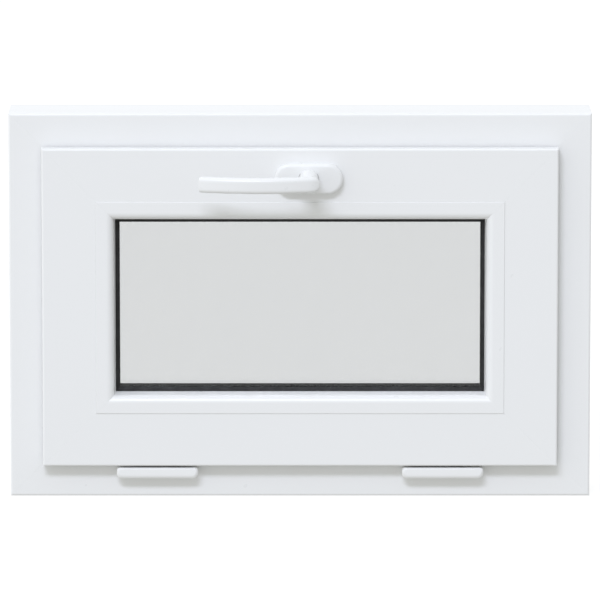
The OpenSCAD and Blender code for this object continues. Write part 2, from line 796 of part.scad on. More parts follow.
module handle_spindle() color(steel) at_handle()
    block([-spindle / 2, spindle / 2], [sash_front - spindle_reach, case_y[1] - 0.2],
        [-spindle / 2, spindle / 2]);

// Notched ring that holds the lever in its base and marks its two positions
module detent_ring() color("dimgray") at_handle() difference() {
    rod_y(ring_r, ring_y);
    rod_y(tail_r + running, [ring_y[0] - 1, sash_front]);
    for (a = [0:90:270]) rotate([0, a, 0])
        translate([ring_r + 0.6, 0, 0]) rod_y(1.6, [ring_y[0] - 1, sash_front]);
}

// ---- stays, drawn for the right-hand side ----

// Puts a shape drawn in its own XY plane, with Y along the arm, beside the stile at x.
// The shape's Z runs towards the frame.
module on_stay(x, y, z) translate([x, y, z]) rotate([-arm_tilt, 0, 0]) rotate([90, 0, 90]) children();

module stay_arm(side) color(steel) handed(side) on_stay(arm_x, stay_y, stay_z) {
    difference() {
        link(arm_r, arm_len, arm_t);
        translate([0, 0, -1]) cylinder(h = arm_t + 2, r = stay_pin_r + running);
    }
    translate([0, arm_len, -5]) cylinder(h = 5 + arm_t, r = stay_pin_r);
}

// Frame bracket with the pivot pin of the stay
module stay_bracket(side) color(steel) handed(side) difference() {
    union() {
        block([frame_half_w - bracket_t, frame_half_w],
            [stay_y - 8, bracket_screw_y + 8], [stay_z - 11, stay_z + 11]);
        translate([(arm_x - 1.5 + frame_half_w) / 2, stay_y, stay_z])
            rod_x(stay_pin_r, frame_half_w - arm_x + 1.5);
        translate([arm_x - 0.8, stay_y, stay_z]) rod_x(4, 1);
    }
    stay_bracket_holes();
}

module at_bracket_screws() for (z = [stay_z - 6, stay_z + 6])
    translate([frame_half_w - bracket_t, bracket_screw_y, z]) rotate([0, 90, 0]) children();

module stay_bracket_holes() at_bracket_screws()
    flat_screw_hole(screw_r, screw_head, bracket_screw_len);

module stay_bracket_screws() color(steel) for (side = [LEFT, RIGHT]) handed(side)
    at_bracket_screws() flat_screw(screw_r, screw_head, bracket_screw_len);

// Slotted track on the sash stile, in line with the tilt axis
module stay_track(side) color(steel) handed(side) difference() {
    on_stay(rebate_half_w, axis_y, axis_z) difference() {
        translate([0, track_near - 13, 0]) link(track_r, track_far - track_near + 26, track_t);
        translate([0, track_near - 0.4, -1])
            link(slot_r, track_far - track_near + 0.8, track_t + 2);
    }
    track_screw_holes();
}

module at_track_screws() for (d = [track_near - 12, track_far + 12])
    on_stay(rebate_half_w, axis_y, axis_z) translate([0, d, track_t]) rotate([180, 0, 0]) children();

module track_screw_holes() at_track_screws()
    flat_screw_hole(screw_r, screw_head, track_screw_len);

module stay_track_screws() color(steel) for (side = [LEFT, RIGHT]) handed(side)
    at_track_screws() flat_screw(screw_r, screw_head, track_screw_len);

frame_sill();
frame_jamb(LEFT);  // frame_jamb_left
frame_head();
frame_jamb(RIGHT);  // frame_jamb_right
frame_reinforcements();
frame_rebate_seal();
drain_caps();
hinge_base(-1);  // hinge_base_left
hinge_base(1);  // hinge_base_right
hinge_pin(-1);  // hinge_pin_left
hinge_pin(1);  // hinge_pin_right
hinge_cover(-1);  // hinge_cover_left
hinge_cover(1);  // hinge_cover_right
hinge_base_screws();
striker(-1);  // striker_left
striker(1);  // striker_right
striker_screws();
stay_bracket(LEFT);  // stay_bracket_left
stay_bracket(RIGHT);  // stay_bracket_right
stay_bracket_screws();
sash_bottom_rail();
sash_stile(LEFT);  // sash_stile_left
sash_top_rail();
sash_stile(RIGHT);  // sash_stile_right
sash_reinforcements();
sash_overlap_seal();
outer_glazing_gasket();
pane(outer_pane_y);  // glass_pane_outer
glazing_spacer();
edge_sealant();
pane(inner_pane_y);  // glass_pane_inner
setting_blocks();
bead_gasket();
bead(BOTTOM);  // bead_bottom
bead(LEFT);  // bead_left
bead(TOP);  // bead_top
bead(RIGHT);  // bead_right
hinge_leaf(-1);  // hinge_leaf_left
hinge_leaf(1);  // hinge_leaf_right
hinge_leaf_screws();
espagnolette_faceplate();
faceplate_screws();
gearbox_front();
gearbox_back();
stay_track(LEFT);  // stay_track_left
stay_track(RIGHT);  // stay_track_right
stay_track_screws();
handle_base();
rosette_cover();
handle_screws();
handle_lever();
handle_spindle();
detent_ring();
gear_pinion();
drive_rod();
locking_cams();
stay_arm(LEFT);  // stay_arm_left
stay_arm(RIGHT);  // stay_arm_right
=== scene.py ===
import json
import math

import bmesh
import bpy
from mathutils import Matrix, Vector


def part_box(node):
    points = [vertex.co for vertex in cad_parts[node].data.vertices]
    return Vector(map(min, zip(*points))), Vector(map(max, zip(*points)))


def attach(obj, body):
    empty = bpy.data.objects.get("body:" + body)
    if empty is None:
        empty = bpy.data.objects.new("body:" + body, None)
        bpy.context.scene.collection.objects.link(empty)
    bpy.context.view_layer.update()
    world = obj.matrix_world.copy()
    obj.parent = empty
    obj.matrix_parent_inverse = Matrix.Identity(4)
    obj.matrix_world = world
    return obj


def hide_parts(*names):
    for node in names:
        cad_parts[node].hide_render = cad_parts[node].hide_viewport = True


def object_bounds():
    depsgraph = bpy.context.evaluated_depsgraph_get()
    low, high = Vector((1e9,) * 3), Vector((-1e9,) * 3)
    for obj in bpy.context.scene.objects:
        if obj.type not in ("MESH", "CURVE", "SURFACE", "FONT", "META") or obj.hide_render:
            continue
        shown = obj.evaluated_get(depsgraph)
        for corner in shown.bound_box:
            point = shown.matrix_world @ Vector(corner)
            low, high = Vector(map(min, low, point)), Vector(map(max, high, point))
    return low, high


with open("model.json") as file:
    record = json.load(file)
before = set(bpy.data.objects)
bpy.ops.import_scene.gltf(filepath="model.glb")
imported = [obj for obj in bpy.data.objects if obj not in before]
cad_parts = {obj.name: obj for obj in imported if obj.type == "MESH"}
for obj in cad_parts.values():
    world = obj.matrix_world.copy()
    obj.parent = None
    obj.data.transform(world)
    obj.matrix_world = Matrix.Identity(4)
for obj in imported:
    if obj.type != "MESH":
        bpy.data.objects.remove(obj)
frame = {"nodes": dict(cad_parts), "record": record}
cad_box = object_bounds()

MM = 0.001
FRAME_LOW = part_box("frame_sill")[0]
FRAME_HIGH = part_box("frame_head")[1]
FRAME_W = FRAME_HIGH.x - FRAME_LOW.x
FRAME_H = FRAME_HIGH.z - FRAME_LOW.z
MIDDLE = Vector((0, 0, FRAME_LOW.z + FRAME_H / 2))
MITRE = (FRAME_W - FRAME_H) / 2     # on every mitre, |x| - |height from the middle| is this

FIRST_COLOUR, SECOND_COLOUR, MIXED_COLOUR = 6, 7, 2    # the sockets of a Mix node that take colours


class Nodes:
    """Short calls for the nodes of one material or of the world."""

    def __init__(self, owner, place):
        owner.use_nodes = True
        self.tree = owner.node_tree
        self.place = self.add("TexCoord").outputs[place]

    def add(self, kind, **settings):
        node = self.tree.nodes.new("ShaderNode" + kind)
        for key, value in settings.items():
            setattr(node, key, value)
        return node

    def set(self, node, socket, value):
        """Links value to the socket if it is another node's output, or else writes it there."""
        if isinstance(value, bpy.types.NodeSocket):
            self.tree.links.new(value, node.inputs[socket])
        else:
            node.inputs[socket].default_value = value

    def maths(self, operation, a, b=0.0):
        node = self.add("Math", operation=operation)
        self.set(node, 0, a)
        self.set(node, 1, b)
        return node.outputs[0]

    def split(self):
        """The place's x, y and z."""
        node = self.add("SeparateXYZ")
        self.set(node, "Vector", self.place)
        return node.outputs

    def fit(self, value, low, high, start=0.3, end=0.7, curve="LINEAR"):
        """value's stretch from start to end, mapped to low and high."""
        node = self.add("MapRange", interpolation_type=curve)
        for socket, number in zip(("From Min", "From Max", "To Min", "To Max"), (start, end, low, high)):
            self.set(node, socket, number)
        self.set(node, "Value", value)
        return node.outputs["Result"]

    def blend(self, factor, a, b):
        """The colour a where factor is 0, and b where it is 1."""
        node = self.add("Mix", data_type="RGBA")
        self.set(node, "Factor", factor)
        for socket, colour in ((FIRST_COLOUR, a), (SECOND_COLOUR, b)):
            self.set(node, socket, (*colour, 1) if isinstance(colour, tuple) else colour)
        return node.outputs[MIXED_COLOUR]


# ---- camera, light and floor ----

VIEW_ELEVATION = math.radians(9.4)
VIEW_DISTANCE = 7.0
VIEW_END = 100.0
FRAME_SHARE = 0.9690                # share of the picture's width that the frame's front fills

KEY_DIRECTION = Vector((-0.23, -1.0, 0.88))
KEY_COLOUR = (0.83, 0.86, 1.0)
KEY_STRENGTH = 1.33                 # light that reaches a surface facing the key, as a sun lamp's strength
KEY_DISTANCE = 20.0
KEY_WIDE = math.radians(24)         # angle that the key fills from side to side, and from top to bottom
KEY_HIGH = math.radians(9)
SKY_TOP = (0.76, 0.79, 0.80)
SKY_LEVEL = (0.590, 0.598, 0.588)
SKY_BELOW = (0.50, 0.50, 0.475)
SKY_LEFT = 1.6                      # how much brighter the far left is
SKY_BEHIND = (0.89, 0.90, 0.91)
BEHIND_FROM, BEHIND_TO = 0.0, 0.35  # how far backwards a direction points where that colour fades in
FLOOR_RADIUS = 60.0
FLOOR_GAP = 0.2 * MM                # keeps the floor just clear of the frame's underside
FLOOR_COLOUR = 0.25
FLOOR_GLOW = 0.80


def make_camera():
    """A long lens at the height that shows a narrow strip of the frame's top."""
    data = bpy.data.cameras.new("camera")
    camera = bpy.data.objects.new("camera", data)
    bpy.context.scene.collection.objects.link(camera)
    towards = Vector((0, -math.cos(VIEW_ELEVATION), math.sin(VIEW_ELEVATION)))
    camera.location = MIDDLE + towards * VIEW_DISTANCE
    camera.rotation_euler = (-towards).to_track_quat("-Z", "Y").to_euler()
    front = VIEW_DISTANCE + FRAME_LOW.y
    data.lens = data.sensor_width * FRAME_SHARE * front / FRAME_W
    data.clip_end = VIEW_END
    bpy.context.scene.camera = camera


def make_key():
    """A softbox far off, wider than high, so that upright edges cast softer shadows than level ones."""
    data = bpy.data.lights.new("key", "AREA")
    data.shape = "RECTANGLE"
    data.size = 2 * KEY_DISTANCE * math.tan(KEY_WIDE / 2)
    data.size_y = 2 * KEY_DISTANCE * math.tan(KEY_HIGH / 2)
    data.energy = KEY_STRENGTH * math.pi * KEY_DISTANCE ** 2
    data.color = KEY_COLOUR
    key = bpy.data.objects.new("key", data)
    key.location = MIDDLE + KEY_DIRECTION.normalized() * KEY_DISTANCE
    key.rotation_euler = KEY_DIRECTION.to_track_quat("Z", "Y").to_euler()
    bpy.context.scene.collection.objects.link(key)


def make_world():
    """A soft white room: brighter overhead than below and on the left than on the right, brightest
    behind the window, and plain white where it is seen directly."""
    world = bpy.data.worlds.new("studio")
    bpy.context.scene.world = world
    nodes = Nodes(world, "Generated")
    right, behind, up = nodes.split()
    ramp = nodes.add("ValToRGB")
    ramp.color_ramp.elements[0].color = (*SKY_BELOW, 1)
    ramp.color_ramp.elements[1].color = (*SKY_TOP, 1)
    ramp.color_ramp.elements.new(0.5).color = (*SKY_LEVEL, 1)
    nodes.set(ramp, "Fac", nodes.fit(up, 0, 1, -1, 1))
    share_behind = nodes.fit(behind, 0, 1, BEHIND_FROM, BEHIND_TO, "SMOOTHSTEP")
    light = nodes.tree.nodes["Background"]
    nodes.set(light, "Color", nodes.blend(share_behind, ramp.outputs["Color"], SKY_BEHIND))
    nodes.set(light, "Strength", nodes.fit(right, 1, SKY_LEFT, 0, -1))
    seen = nodes.add("Background")
    nodes.set(seen, "Color", (1, 1, 1, 1))
    choice = nodes.add("MixShader")
    nodes.set(choice, "Fac", nodes.add("LightPath").outputs["Is Camera Ray"])
    nodes.set(choice, 1, light.outputs[0])
    nodes.set(choice, 2, seen.outputs[0])
    nodes.set(nodes.tree.nodes["World Output"], "Surface", choice.outputs[0])


def make_floor():
    """A plain pale floor. Light that lands on the window comes past it, so that the room's light
    from below reaches the undersides."""
    mesh = bpy.data.meshes.new("floor")
    shape = bmesh.new()
    bmesh.ops.create_circle(shape, cap_ends=True, radius=FLOOR_RADIUS, segments=64)
    shape.to_mesh(mesh)
    shape.free()
    floor = bpy.data.objects.new("floor", mesh)
    floor.location.z = cad_box[0].z - FLOOR_GAP
    floor.visible_diffuse = False
    floor.visible_glossy = False
    bpy.context.scene.collection.objects.link(floor)
    finish = Pattern("pale_floor", (FLOOR_COLOUR,) * 3, 0.9, Specular_IOR_Level=0,
                     Emission_Color=(1, 1, 1, 1), Emission_Strength=FLOOR_GLOW)
    mesh.materials.append(finish.mat)


# ---- materials ----

class Pattern(Nodes):
    """A finish in the making. Lengths are in metres, in the piece's own space."""

    def __init__(self, name, colour, roughness, **sockets):
        self.mat = bpy.data.materials.new(name)
        super().__init__(self.mat, "Object")
        self.shader = self.tree.nodes["Principled BSDF"]
        self.set(self.shader, "Base Color", (*colour, 1))
        self.set(self.shader, "Roughness", roughness)
        for key, value in sockets.items():
            self.set(self.shader, key.replace("_", " "), value)

    def stretched(self, scale):
        node = self.add("Mapping")
        self.set(node, "Vector", self.place)
        self.set(node, "Scale", scale)
        return node.outputs[0]

    def noise(self, size, detail=2.0, stretch=(1, 1, 1)):
        """Noise from 0 to 1, its blobs about size across, drawn out along axes whose stretch is under 1."""
        node = self.add("TexNoise")
        self.set(node, "Vector", self.stretched(stretch))
        self.set(node, "Scale", 1 / size)
        self.set(node, "Detail", detail)
        return node.outputs["Fac"]

    def cells(self, size, output="Distance"):
        node = self.add("TexVoronoi")
        self.set(node, "Vector", self.place)
        self.set(node, "Scale", 1 / size)
        return node.outputs[output]

    def bump(self, height, depth, under=None):
        """Raises the surface by depth where height is 1."""
        node = self.add("Bump")
        self.set(node, "Height", height)
        self.set(node, "Distance", depth)
        self.set(node, "Strength", 1.0)
        if under is not None:
            self.set(node, "Normal", under)
        self.set(self.shader, "Normal", node.outputs[0])
        return node.outputs[0]

    def mitre_distance(self):
        """Distance from the corners' 45 degree joints, one set of lines for frame, sash and beads."""
        x, _, z = self.split()
        height = self.maths("ABSOLUTE", self.maths("SUBTRACT", z, MIDDLE.z))
        across = self.maths("SUBTRACT", self.maths("ABSOLUTE", x), height)
        off = self.maths("ABSOLUTE", self.maths("SUBTRACT", across, MITRE))
        return self.maths("MULTIPLY", off, math.sqrt(0.5))


WHITE = (0.868, 0.872, 0.872)
WHITE_WARM = (0.864, 0.867, 0.864)
POWDER = (0.846, 0.850, 0.850)
POWDER_WARM = (0.842, 0.846, 0.843)
RUBBER = 0.013
GLASS_TINT = (0.806, 0.812, 0.812)
GLASS_TINT_THICK = (0.810, 0.814, 0.813)
ZINC = (0.62, 0.625, 0.63)
SPANGLE_DARK, SPANGLE_LIGHT = (0.48, 0.49, 0.50), (0.60, 0.61, 0.62)
MILL_ALUMINIUM = (0.6, 0.61, 0.62)
# painted shade: the near-black colour inside the spacer's breather holes, which are only a shallow dent
BREATHER_HOLE_SHADE = (0.06, 0.06, 0.06)
BLOCK_GREEN = (0.05, 0.22, 0.10)
BASE_GREY = (0.33, 0.34, 0.35)
DRAWN_STEEL = (0.52, 0.52, 0.53)
SINTERED_STEEL = (0.40, 0.39, 0.38)
SEALANT = 0.03
DRAWN_OUT = 0.02                    # how much finer the grain is across the profile than along it
WELD_HALF_W = 0.5 * MM              # half the width of the scraped line at the corners
WELD_DULL_W = 2.0 * MM              # how far from it the surface is still duller
WELD_DEPTH = 0.05 * MM


def shaded(colour, share):
    """The colour with each of its parts multiplied by share."""
    return tuple(share * c for c in colour)


def pvc(name, along):
    """Extruded PVC: satin, faintly drawn along its length, with a scraped weld line at the corners."""
    p = Pattern(name, WHITE, 0.3, IOR=1.53)
    streak = (DRAWN_OUT, 1, 1) if along == "x" else (1, 1, DRAWN_OUT)
    p.set(p.shader, "Base Color", p.blend(p.noise(80 * MM, 1), WHITE, WHITE_WARM))
    drawn = p.noise(2.5 * MM, 2, streak)
    rough = p.fit(p.noise(20 * MM, 2), 0.27, 0.34, 0.2, 0.8)
    near_weld = p.fit(p.mitre_distance(), 0.1, 0, 0.6 * WELD_DULL_W, WELD_DULL_W)
    p.set(p.shader, "Roughness", p.maths("ADD", rough, near_weld))
    grain = p.bump(drawn, 0.004 * MM)
    p.bump(p.fit(p.mitre_distance(), 0, 1, 0.2 * WELD_HALF_W, WELD_HALF_W), WELD_DEPTH, grain)
    return p.mat


def moulded(name):
    """Injection-moulded cover: finely spark-eroded, satin."""
    p = Pattern(name, WHITE, 0.3, IOR=1.5)
    p.set(p.shader, "Base Color", p.blend(p.noise(25 * MM, 1), WHITE, WHITE_WARM))
    p.set(p.shader, "Roughness", p.fit(p.noise(5 * MM, 2), 0.27, 0.35, 0.2, 0.8))
    p.bump(p.noise(0.6 * MM, 1), 0.004 * MM)
    return p.mat


def powder_coat(name):
    """White powder coat on a casting, with its faint orange peel."""
    p = Pattern(name, POWDER, 0.25, IOR=1.5, Coat_Weight=0.15, Coat_Roughness=0.12)
    p.set(p.shader, "Base Color", p.blend(p.noise(30 * MM, 1), POWDER, POWDER_WARM))
    p.set(p.shader, "Roughness", p.fit(p.noise(6 * MM, 2), 0.26, 0.34, 0.2, 0.8))
    p.bump(p.noise(1.4 * MM, 1), 0.006 * MM)
    return p.mat


def black_rubber(name, grey=RUBBER):
    """Extruded EPDM: matt black with a faint bloom."""
    p = Pattern(name, (grey,) * 3, 0.6, IOR=1.5, Specular_IOR_Level=0.36)
    bloom = p.fit(p.noise(9 * MM, 4), 0, 1, 0.45, 0.8)
    bloomed = (grey * 2.2, grey * 2.2, grey * 2.3)
    p.set(p.shader, "Base Color", p.blend(bloom, (grey, grey, grey), bloomed))
    p.set(p.shader, "Roughness", p.fit(p.noise(3 * MM, 3), 0.5, 0.72))
    p.bump(p.noise(0.8 * MM, 2), 0.01 * MM)
    return p.mat


def glass(name):
    """Coated float glass, neutral grey, with the faint waviness of a drawn sheet."""
    p = Pattern(name, GLASS_TINT, 0.0, IOR=1.5, Transmission_Weight=1.0)
    p.set(p.shader, "Base Color", p.blend(p.noise(150 * MM), GLASS_TINT, GLASS_TINT_THICK))
    p.bump(p.noise(90 * MM, 1), 0.004 * MM)
    return p.mat


def zinc(name):
    """Zinc-plated sheet or bar, passivated: bright, with rolling marks and a milky bloom."""
    p = Pattern(name, ZINC, 0.3, Metallic=1.0)
    bloom = p.fit(p.noise(7 * MM, 4), 0, 1)
    p.set(p.shader, "Base Color", p.blend(bloom, ZINC, shaded(ZINC, 0.8)))
    marks = p.noise(0.5 * MM, 3, (0.04, 1, 1))
    marked, milky = p.fit(marks, 0, 0.12), p.fit(bloom, 0.22, 0.36, 0, 1)
    p.set(p.shader, "Roughness", p.maths("ADD", marked, milky))
    p.bump(marks, 0.008 * MM)
    return p.mat


def galvanised(name):
    """Hot-dip galvanised strip with its spangle."""
    p = Pattern(name, SPANGLE_LIGHT, 0.4, Metallic=1.0)
    spangle = p.cells(6 * MM, output="Color")
    grey = p.add("SeparateColor")
    p.set(grey, "Color", spangle)
    p.set(p.shader, "Base Color", p.blend(grey.outputs[0], SPANGLE_DARK, SPANGLE_LIGHT))
    p.set(p.shader, "Roughness", p.fit(grey.outputs[1], 0.3, 0.5, 0, 1))
    p.bump(p.noise(2 * MM, 3), 0.01 * MM)
    return p.mat


def turned_steel(name, colour, rough):
    """Drawn or sintered steel with fine turning marks."""
    p = Pattern(name, colour, rough, Metallic=1.0)
    patches = p.fit(p.noise(3 * MM, 4), 0, 1)
    p.set(p.shader, "Base Color", p.blend(patches, colour, shaded(colour, 0.85)))
    p.set(p.shader, "Roughness", p.fit(p.noise(1.5 * MM, 3), rough - 0.06, rough + 0.08))
    p.bump(p.noise(0.25 * MM, 2), 0.006 * MM)
    return p.mat


def spacer_metal(name):
    """Mill-finish aluminium strip with fine breather holes, dented slightly and painted dark as painted
    shade inside them.
    """
    p = Pattern(name, MILL_ALUMINIUM, 0.35, Metallic=1.0)
    hole = p.fit(p.cells(1.8 * MM), 1, 0, 0.16, 0.2)
    # painted shade: the holes are coloured near-black for the shade inside them, because the bump below
    # only dents them
    p.set(p.shader, "Base Color", p.blend(hole, MILL_ALUMINIUM, BREATHER_HOLE_SHADE))
    p.set(p.shader, "Roughness", p.fit(p.noise(4 * MM, 3), 0.3, 0.42))
    p.bump(hole, -0.05 * MM)
    return p.mat


def engineering_plastic(name, colour):
    """Self-coloured plastic, faintly cloudy, with a matt skin."""
    p = Pattern(name, colour, 0.45, IOR=1.5)
    clouds = p.fit(p.noise(8 * MM, 3), 0, 1)
    p.set(p.shader, "Base Color", p.blend(clouds, colour, shaded(colour, 0.85)))
    p.set(p.shader, "Roughness", p.fit(p.noise(2 * MM, 3), 0.38, 0.55))
    p.bump(p.noise(0.3 * MM, 2), 0.01 * MM)
    return p.mat


def make_materials():
    """The finish of each slot of the record. The PVC has one for each direction of its length."""
    return {
        "white_pvc": pvc("white_pvc_level", "x"),
        "white_pvc_upright": pvc("white_pvc_upright", "z"),
        "white_trim": moulded("white_trim"),
        "white_handle": powder_coat("white_handle"),
        "black_gasket": black_rubber("black_gasket"),
        "clear_glass": glass("clear_glass"),
        "spacer_aluminium": spacer_metal("spacer_aluminium"),
        "sealant": black_rubber("edge_sealant", SEALANT),
        "block_plastic": engineering_plastic("block_plastic", BLOCK_GREEN),
        "base_plastic": engineering_plastic("base_plastic", BASE_GREY),
        "zinc_steel": zinc("zinc_steel"),
        "galvanised_steel": galvanised("galvanised_steel"),
        "pin_steel": turned_steel("pin_steel", DRAWN_STEEL, 0.22),
        "gear_steel": turned_steel("gear_steel", SINTERED_STEEL, 0.42),
    }


UPRIGHT = ("jamb", "stile", "bead_left", "bead_right")
EDGE_BREAK = {"white_pvc": 0.08 * MM, "white_trim": 0.3 * MM, "black_gasket": 0.2 * MM}
OTHER_EDGE_BREAK = 0.15 * MM
SAME_POINT = 0.001 * MM
CORNER_FROM = math.radians(35)      # an edge that turns more than this is a corner


def dress_nodes(finishes):
    """Gives every CAD node its finish and breaks its sharp edges."""
    slots = {part["node"]: part["material_slot"] for part in frame["record"]["subparts"]}
    for name, node in frame["nodes"].items():
        slot = slots[name]
        finish = finishes[slot]
        if slot == "white_pvc" and any(word in name for word in UPRIGHT):
            finish = finishes["white_pvc_upright"]
        node.data.materials.clear()
        node.data.materials.append(finish)
        if slot != "clear_glass":
            break_edges(node, EDGE_BREAK.get(slot, OTHER_EDGE_BREAK))


def break_edges(piece, width):
    """Welds the mesh's split corners, bevels its sharp edges and evens out its shading."""
    weld = piece.modifiers.new("weld", "WELD")
    weld.merge_threshold = SAME_POINT
    bevel = piece.modifiers.new("edge_break", "BEVEL")
    bevel.width = width
    bevel.segments = 2
    bevel.limit_method = "ANGLE"
    bevel.angle_limit = CORNER_FROM
    bevel.use_clamp_overlap = True
    even = piece.modifiers.new("even_shading", "WEIGHTED_NORMAL")
    even.weight = 80
    even.keep_sharp = False


# ---- handle and hinge covers ----

HANDLE_AXIS = (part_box("handle_spindle")[0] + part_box("handle_spindle")[1]) / 2
SASH_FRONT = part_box("handle_base")[1].y
GRIP_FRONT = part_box("handle_lever")[0].y
GRIP_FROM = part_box("handle_lever")[0].x
GRIP_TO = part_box("handle_lever")[1].x
GRIP_H = 16 * MM
GRIP_T = 12 * MM
GRIP_CORNER = 4 * MM
BOW_R = 190 * MM
TIP_ROUND = 0.9 * MM                # rounding of the grip's free end
HEEL_ROUND = 8 * MM                 # the grip's other end is a half circle, seen from the front
HEEL_NOSE = 15 * MM                 # and rounded over this length, seen from above
NECK = (                            # distance off the sash and radius of the lever's neck, in millimetres
    (51.5, 4), (51, 6), (49.5, 7.4), (47, 7.9), (42, 8.3), (37, 8.8), (32, 9.4), (27, 9.8), (22, 10.1),
    (17, 10.2), (7.8, 10.2), (7.8, 7.95), (3.4, 7.95), (3.4, 6.95), (0.8, 6.95))
NECK_SIDES = 64
BORE = 7.2 * MM                     # side of the square hole for the spindle
BORE_DEPTH = 34 * MM
VOXEL = 0.5 * MM
SMOOTHINGS = 16
GRIP_STEP = 4                       # millimetres between the grip's sections, closer at its ends:
TIP_SECTIONS = (0.03, 0.1, 0.25, 0.5, 0.8, 1.2, 1.7, 2.3)       # distances from the free end, mm
HEEL_SECTIONS = (                   # and from the other end, where it rounds over a longer way
    15, 13, 11.3, 9.7, 8.4, 7.2, 6, 5, 4, 3.1, 2.3, 1.6, 1, 0.6, 0.3, 0.12, 0.03)

ROSETTE_W, ROSETTE_D, ROSETTE_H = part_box("rosette_cover")[1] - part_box("rosette_cover")[0]
ROSETTE_EDGE = 3.5 * MM
ROSETTE_CROWN = 0.5 * MM
ROSETTE_WALL = 1.6 * MM
ROSETTE_HOLE = 10.3 * MM
ROSETTE_HOLE_FLARE = 0.15 * MM      # how much wider the hole is at the front
ROSETTE_STEPS = 24                  # steps in each quarter of its outline

FACE_STEPS = 8                      # rings from the rosette's rounded edge to its hole
ROUNDING = [math.pi / 2 * i / 8 for i in range(9)]     # angles round a front edge, from side to face
CREASE_FROM = math.radians(40)      # edges that turn more than this stay sharp

COVER_TOP_EDGE = 1.6 * MM           # how far the front's rounding reaches down from the top,
COVER_LOW_EDGE = 4.4 * MM           # up from the bottom
COVER_EDGE_D = 3.0 * MM             # and back from the front
COVER_TOP_CORNER = 3.4 * MM
COVER_LOW_CORNER = 5.6 * MM
COVER_WALL = 1.2 * MM
COVER_SLOT_W = 49.2 * MM            # the slot that the sash's leaf passes through
COVER_SLOT_D = 6.4 * MM


def new_piece(name, points, faces):
    mesh = bpy.data.meshes.new(name)
    mesh.from_pydata([tuple(p) for p in points], [], faces)
    piece = bpy.data.objects.new(name, mesh)
    bpy.context.scene.collection.objects.link(piece)
    return piece


def loft(name, rings, closed=False):
    """A skin over rings of equally many points, capped at both ends or closed into a loop."""
    n = len(rings[0])
    last = len(rings) if closed else len(rings) - 1
    faces = []
    for i in range(last):
        here, there = i * n, (i + 1) % len(rings) * n
        faces += [(here + j, here + (j + 1) % n, there + (j + 1) % n, there + j) for j in range(n)]
    if not closed:
        faces += [tuple(reversed(range(n))), tuple(range(last * n, (last + 1) * n))]
    piece = new_piece(name, [p for ring in rings for p in ring], faces)
    shape = bmesh.new()
    shape.from_mesh(piece.data)
    bmesh.ops.recalc_face_normals(shape, faces=shape.faces)
    shape.to_mesh(piece.data)
    shape.free()
    return piece


def rounded_outline(w, h, top_r, low_r=None, steps=8):
    """Points round a w by h rectangle, anticlockwise from the right. Its upper corners are rounded
    by top_r and its lower ones by low_r, or all four alike."""
    if low_r is None:
        top_r = low_r = min(top_r, w / 2, h / 2)
    points = []
    for corner, (sx, sz) in enumerate(((1, 1), (-1, 1), (-1, -1), (1, -1))):
        r = top_r if sz > 0 else low_r
        for i in range(steps + 1):
            a = math.pi / 2 * (corner + i / steps)
            points.append((sx * (w / 2 - r) + r * math.cos(a), sz * (h / 2 - r) + r * math.sin(a)))
    return points


def freeze(piece, *modifiers):
    """Applies the modifiers, each given as its type and settings, by baking the finished mesh."""
    for kind, settings in modifiers:
        modifier = piece.modifiers.new(kind.lower(), kind)
        for key, value in settings.items():
            setattr(modifier, key, value)
    ready = piece.evaluated_get(bpy.context.evaluated_depsgraph_get())
    mesh = bpy.data.meshes.new_from_object(ready)
    piece.modifiers.clear()
    piece.data = mesh


def cut_box(piece, low, high):
    """Takes the box between the corners low and high out of the piece."""
    points = [(x, y, z) for x in (low[0], high[0]) for y in (low[1], high[1]) for z in (low[2], high[2])]
    faces = [(0, 1, 3, 2), (4, 6, 7, 5), (0, 4, 5, 1), (2, 3, 7, 6), (0, 2, 6, 4), (1, 5, 7, 3)]
    cutter = new_piece("cutter", points, faces)
    freeze(piece, ("BOOLEAN", {"operation": "DIFFERENCE", "solver": "EXACT", "object": cutter}))
    bpy.data.objects.remove(cutter)


def finish_piece(piece, finishes, body, slot, *stands_for):
    """Smooth shading, the slot's finish, the body it rides on and the CAD nodes it shows in place of."""
    piece.data.shade_smooth()
    piece.data.set_sharp_from_angle(angle=CREASE_FROM)
    even = piece.modifiers.new("even_shading", "WEIGHTED_NORMAL")
    even.weight = 60
    even.keep_sharp = True
    piece.data.materials.clear()
    piece.data.materials.append(finishes[slot])
    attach(piece, body)
    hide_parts(*stands_for)


def half_chord(radius, along):
    """Width, as a share of the full one, of an end rounded over radius, at along from its tip."""
    return math.sqrt(max(0.0, 1 - (1 - min(along / radius, 1)) ** 2))


